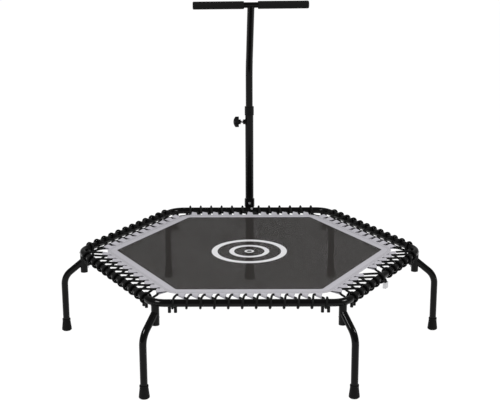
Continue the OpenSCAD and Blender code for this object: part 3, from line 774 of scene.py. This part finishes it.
def tab_points(places, slant):
    """Grids for the tabs at the given places. A point is (across, along the U, through the webbing):
    the U's line is a straight from the band's edge to the rope, an arc round it, and a straight
    back to the root, and the webbing's thickness goes along the line's normal."""
    w = strip_section(TAB_W, WEB_T, 2)[::-1]
    w, through = w[:, 0] / (TAB_W / 2) - 1, w[:, 1] - WEB_T / 2
    fold = np.linspace(*FOLD, 11)[:, None]
    loop_r = ROPE_R + TAB_CLEAR + WEB_T / 2
    rope_d = ROPE_REACH + TAB_TIP_IN * -w[None, :] * TAB_FOLLOW
    rope_z = MAT_RISE + TAB_TIP_UP * -w[None, :] * TAB_FOLLOW
    round_d, round_z = rope_d + loop_r * np.cos(fold), rope_z + loop_r * np.sin(fold)
    t = np.linspace(0, 1, 6)[:-1, None]
    edge_d, root_d = ROPE_REACH + TAB_REACH + TAB_LAP, ROPE_REACH + TAB_REACH + TAB_ROOT
    top_z, under_z = BAND_TOP - RAIL_Z - WEB_T / 2 - FACE_GAP, BAND_BOTTOM - RAIL_Z - UNDER_DROP
    out_d, out_z = edge_d + (round_d[:1] - edge_d) * t, top_z + (round_z[:1] - top_z) * t
    back_d, back_z = root_d + (round_d[-1:] - root_d) * t[::-1], under_z + (round_z[-1:] - under_z) * t[::-1]
    d, z = np.concatenate([out_d, round_d, back_d]), np.concatenate([out_z, round_z, back_z])
    step_d, step_z = np.gradient(d, axis=0), np.gradient(z, axis=0)
    size = np.hypot(step_d, step_z)
    d, z = d + through * step_z / size, z - through * step_d / size
    flare = np.clip((d - ROPE_REACH) / (TAB_REACH + TAB_ROOT), 0, 1)
    u = w[None, :] * (TAB_W / 2 + TAB_FLARE * flare)
    grid = np.stack([u, d, z], -1)
    shift = np.zeros((len(places), 1, 1, 3))
    shift[:, 0, 0, 0] = places
    return (grid[None] + shift) * [slant, 1, 1]


for k, side in enumerate(SIDES):
    places = winding_places(side_gap(k))
    middles = (places[:-1] + places[1:] + WRAP_LEAD + TAB_AFTER - TAB_BEFORE) / 2
    if k == CLIP_SIDE:
        middles = np.delete(middles, WINDINGS // 2 - 1)
    local = tab_points(middles, SLANTS[k])
    if SLANTS[k] > 0:
        local = local[:, :, ::-1]  # keeps the faces outwards on the sides that aren't mirrored
    _, rows, columns, _ = local.shape
    tab_uv = grid_uv(np.linspace(0, TAB_AROUND, columns + 1), np.linspace(0, TAB_LENGTH, rows))
    tabs = build_piece(f"tabs_{side}", on_side(local, k), tab_webbing, uv=tab_uv)
    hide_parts(f"mat_tabs_{side}")
    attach(tabs, "mat")

# %% [markdown]
# ## Woven mesh
# The jumping surface is a polypropylene mesh, woven from flat dark threads about a millimetre and
# a half apart. It is pulled tight, so it is nearly flat and dips only a few millimetres in the
# middle. Light comes through the pinholes between the threads, which is why the legs behind show
# faintly. The weave is two sets of rounded threads that take turns on top, and a pinhole is where
# neither set covers. The sheet has an upper and a lower skin, and pinholes in both would hardly
# ever line up. So the upper skin alone carries the weave, and the lower one is nearly clear: V of
# the sheet's UV says which is which. A plain ring target is printed in the middle, to show where
# to land.

# %% Mesh finish
THREAD_PITCH = 0.0016
PINHOLE = 0.29  # a thread covers nothing where its wave is lower than this
CLEARNESS = 0.92  # of a pinhole, and of the lower skin
MESH_TINT = (1.14, 1.0, 0.93)
TARGET_RINGS = ((0.130, 0.011), (0.066, 0.009))  # radius and half the width of each ring
TARGET_DOT = 0.018
woven = Finish("woven_mesh", Specular_IOR_Level=0.15)
x, y, _ = woven.place()
across_threads = x * (math.pi / THREAD_PITCH)
along_threads = y * (math.pi / THREAD_PITCH)
warp = x.math("ABSOLUTE", x.math("SINE", across_threads))
weft = x.math("ABSOLUTE", x.math("SINE", along_threads))
over = x.math("SINE", across_threads) * x.math("SINE", along_threads)
warp_on_top = over > 0
height = warp * (0.6 + 0.4 * warp_on_top) * 0.5 + weft * (1.0 - 0.4 * warp_on_top) * 0.5
pinhole = (warp < PINHOLE) * (weft < PINHOLE)
_, upper_skin, _ = woven.place("UV")
open_share = pinhole * upper_skin + (1.0 - upper_skin)
streaks = woven.noise(1.0, 3, (110, 2.0, 1))
tone = woven.noise(5, 3)
# The threads' colour partly follows their height: darker where they dip and between them, which is painted
# shade. The streaks and the tone are the threads' own colour.
thread = woven.mix(height * 0.35 + streaks * 0.65, grey(0.008, MESH_TINT), grey(0.031, MESH_TINT))
thread = woven.mix(tone * 0.35, thread, grey(0.017, MESH_TINT))
radius = x.math("SQRT", x * x + y * y)
ink = 0.0
for ring_radius, half_width in TARGET_RINGS:
    ink = ink + (x.math("ABSOLUTE", radius - ring_radius) < half_width)
ink = ink + (radius < TARGET_DOT)
woven.set(
    Base_Color=woven.mix(ink * 0.92, thread, grey(0.78, (1.0, 1.0, 1.02))),
    Roughness=0.62 + 0.2 * height,
    Alpha=1.0 - open_share * CLEARNESS,
    Normal=woven.bump(height, 0.00035, 0.6),
)
print("woven mesh", len(woven.tree.nodes), "nodes")

# %% Mesh
MESH_LAP = 0.002  # how far the mesh ends inside the band's outer edge
SAG = 0.004
SKIN_ROWS = 22  # outlines in each skin, from nearly the centre to the edge
mesh_low, mesh_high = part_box("mat_mesh")
mesh_outline = hexagon_outline(BAND_APOTHEM - MESH_LAP, OUTER_CORNER - MESH_LAP)
# The caps inside the first outline have V = 0, so both are as clear as the lower skin.
shares = np.linspace(0.02, 1, SKIN_ROWS)


def sagging(share):
    """Height below the edge, SAG in the middle: -SAG (1 - share^2)^2."""
    return -SAG * (1 - share**2) ** 2


steps = np.concatenate([shares, shares[::-1]])
heights = np.repeat([mesh_low.z, mesh_high.z], SKIN_ROWS) + sagging(steps)
mesh_points = raised(mesh_outline[None] * steps[:, None, None], heights)
mesh_uv = grid_uv(distance_along(mesh_outline), np.repeat([0.0, 1.0], SKIN_ROWS))
mesh_sheet = build_piece("mesh", mesh_points, woven, uv=mesh_uv)
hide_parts("mat_mesh")
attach(mesh_sheet, "mat")

# %% [markdown]
# ## Weld beads
# The sleeves, the pegs, the nut and the crossbar are welded to their tubes, and the paint goes
# over the weld. A bead is a thin round tube laid along the line where two tubes meet, with low
# ripples from the welder's steps. Each line follows from the two radii: on a tube of radius R, a
# point that lies s from its middle plane is at depth sqrt(R^2 - s^2).

# %% Weld beads
def bead_rings(line, radius, ripple=0.0012, sides=8):
    """A closed tube along the line whose radius swells by a tenth every `ripple` metres."""
    first, second = carried_frames(line, closed=True)
    length = distance_along(line)[:-1]
    a = np.linspace(0, math.tau, sides, endpoint=False)[None, :, None]
    swell = (radius * (1 + 0.10 * np.sin(length * math.tau / ripple)))[:, None, None]
    return line[:, None] + swell * (np.cos(a) * first[:, None] + np.sin(a) * second[:, None])


def turned(points, angle):
    """Points turned about the Z axis."""
    x, y, z = points[..., 0], points[..., 1], points[..., 2]
    c, s = math.cos(angle), math.sin(angle)
    return np.stack([x * c - y * s, x * s + y * c, z], -1)


# %% Beads under the rail
SLEEVE_R, PEG_R, PEG_PITCH = 0.0135, 0.0055, 0.020
BEAD_R, PEG_BEAD_R = 0.0016, 0.0009
LEAST_DEPTH = 0.003  # below the rail's centreline, where the sleeve is wider than the rail
a = np.linspace(0, math.tau, 72, endpoint=False)
from_bend = np.hypot(BEND_R + SLEEVE_R * np.cos(a), SLEEVE_R * np.sin(a)) - BEND_R
sleeve_depth = np.sqrt(np.maximum(RAIL_R**2 - from_bend**2, LEAST_DEPTH**2))
sleeve_line = np.stack([BEND_MID_R + SLEEVE_R * np.cos(a), SLEEVE_R * np.sin(a), RAIL_Z - sleeve_depth], -1)
sleeve_beads = [bead_rings(turned(sleeve_line, k * math.pi / 3), BEAD_R) for k in range(6)]
sleeve_welds = build_piece("weld_sleeves", sleeve_beads, powder_coat, loop=True)

peg_x, peg_y = PEG_R * np.cos(a[::2]), PEG_R * np.sin(a[::2])
peg_line = np.stack([peg_x, peg_y, -np.sqrt(RAIL_R**2 - peg_y**2)], -1)
peg_beads = [bead_rings(on_side(peg_line + [end * span / 2 + way * PEG_PITCH / 2, 0, 0], k), PEG_BEAD_R)
             for k in range(6) for end in (-1, 1) for way in (-1, 1)]
peg_welds = build_piece("weld_pegs", peg_beads, powder_coat, loop=True)

# %% Beads on the post and the handle
post_low, post_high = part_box("post_tube")
POST_Y, POST_R = (post_low.y + post_high.y) / 2, (post_high.x - post_low.x) / 2
nut_low, nut_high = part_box("clamp_nut")
NUT_R, NUT_Z = (nut_high.z - nut_low.z) / 2, (nut_high.z + nut_low.z) / 2
nut_y, nut_z = NUT_R * np.cos(a), NUT_R * np.sin(a)
nut_line = np.stack([-np.sqrt(POST_R**2 - nut_y**2), POST_Y + nut_y, NUT_Z + nut_z], -1)
nut_weld = build_piece("weld_nut", bead_rings(nut_line, BEAD_R), powder_coat, loop=True)

bar_low, bar_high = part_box("crossbar")
bar_middle, BAR_R = (bar_low + bar_high) / 2, (bar_high.z - bar_low.z) / 2
REACH = math.hypot(bar_middle.x, POST_Y - bar_middle.y)
AIM = math.atan2(bar_middle.x, POST_Y - bar_middle.y)  # the handle is turned a little on its post
LEAN, LEAN_R = math.radians(24), 0.01425  # of the handle's leaning stretch
BAR_BEAD_R, BAR_CLEAR = 0.0014, 0.0002
BAR_SWING = 3  # how fast the line swings across from one side of the tube to the other
side_way = BAR_R * np.sin(a)
down = -np.sqrt(np.maximum(BAR_R**2 - side_way**2, 0)) - BAR_CLEAR
bar_line = np.stack([np.sqrt(LEAN_R**2 - side_way**2) * np.clip(np.cos(a) * BAR_SWING, -1, 1),
                     side_way * math.cos(LEAN) - down * math.sin(LEAN) - REACH,
                     bar_middle.z + side_way * math.sin(LEAN) + down * math.cos(LEAN)], -1)
bar_line = turned(bar_line, AIM) + [0, POST_Y, 0]
bar_weld = build_piece("weld_crossbar", bead_rings(bar_line, BAR_BEAD_R), powder_coat, loop=True)
for weld, body in ((sleeve_welds, "frame"), (peg_welds, "frame"), (nut_weld, "frame"), (bar_weld, "handle")):
    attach(weld, body)

# %% [markdown]
# ## Threaded clamp screw
# The bare stretch of screw between the nut and the knob shows its thread. A thread is one surface
# of two parameters: the radius falls and rises once for each pitch, and the pattern turns once
# round while it moves one pitch along. A triangle wave, clipped at both ends, gives flat crests.

# %% Clamp screw
screw_low, screw_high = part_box("clamp_screw")
SCREW_R, SCREW_CLEAR = (screw_high.z - screw_low.z) / 2, 0.00005
SCREW_PITCH, THREAD_DEPTH = 0.0015, 0.00085
along_screw = np.arange(screw_low.x, screw_high.x, SCREW_PITCH / 8)
round_screw = np.linspace(0, math.tau, 24, endpoint=False)
phase = (along_screw[:, None] / SCREW_PITCH + round_screw[None, :] / math.tau) % 1
depth = THREAD_DEPTH * np.clip(np.abs(phase - 0.5) * 2.4 - 0.2, 0, 1)
screw_radius = SCREW_R - SCREW_CLEAR - depth
screw_points = np.stack([np.broadcast_to(along_screw[:, None], depth.shape),
                         POST_Y + screw_radius * np.cos(round_screw),
                         NUT_Z + screw_radius * np.sin(round_screw)], -1)
screw = build_piece("screw", screw_points, zinc)
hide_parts("clamp_screw")
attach(screw, "clamp_knob")

# %% [markdown]
# ## Floor and light
# The floor is plain and white, and it lies just under the feet. It reflects little, and nearly all
# of its brightness is its own, like a light table, so that it stays white even under the mat. The
# walls look as white as the floor, but they light the object with less than a third of that, so
# that the black tubes stay black. Two soft lamps, one high on the left and one on the right, add
# soft streaks to the tubes.

# %% Floor
FLOOR_HALF, FLOOR_DROP = 30, 0.0002
floor_paint = Finish("pale_floor", Roughness=1.0, Specular_IOR_Level=0.0, Emission_Strength=1.0)
floor_paint.set(Base_Color=grey(0.06), Emission_Color=grey(1.0))
ways = ((-1, -1), (1, -1), (1, 1), (-1, 1))
floor_corners = [(x * FLOOR_HALF, y * FLOOR_HALF, -FLOOR_DROP) for x, y in ways]
floor_mesh = bpy.data.meshes.new("floor")
floor_mesh.from_pydata(floor_corners, [], [(0, 1, 2, 3)])
floor = link_piece("floor", floor_mesh, floor_paint)

# %% Light
ROOM_LIGHT = 0.3  # the share of the walls' brightness that lights the object
world = bpy.data.worlds.new("white_room")
world.use_nodes = True
sky = world.node_tree.nodes["Background"]
sky.inputs["Color"].default_value = (1, 1, 1, 1)
ray = world.node_tree.nodes.new("ShaderNodeLightPath")
strength = world.node_tree.nodes.new("ShaderNodeMath")
strength.operation = "MULTIPLY_ADD"
strength.inputs[1].default_value = 1.0 - ROOM_LIGHT
strength.inputs[2].default_value = ROOM_LIGHT
world.node_tree.links.new(ray.outputs["Is Camera Ray"], strength.inputs[0])
world.node_tree.links.new(strength.outputs[0], sky.inputs["Strength"])
bpy.context.scene.world = world


def soft_lamp(name, place, size, power):
    """A square lamp at `place` that faces the middle of the object."""
    data = bpy.data.lights.new(name, "AREA")
    data.size = size
    data.energy = power
    lamp = bpy.data.objects.new(name, data)
    lamp.location = place
    lamp.rotation_mode = "QUATERNION"
    lamp.rotation_quaternion = (Vector(LAMP_AIM) - Vector(place)).to_track_quat("-Z", "Y")
    bpy.context.scene.collection.objects.link(lamp)
    print(name, size, "m,", power, "W")


LAMP_AIM = (0, 0, 0.5)
soft_lamp("lamp_left", (-2.6, -2.2, 3.4), size=1.1, power=125)
soft_lamp("lamp_right", (2.8, -1.2, 2.6), size=0.9, power=80)
bpy.context.scene.view_settings.view_transform = "Standard"
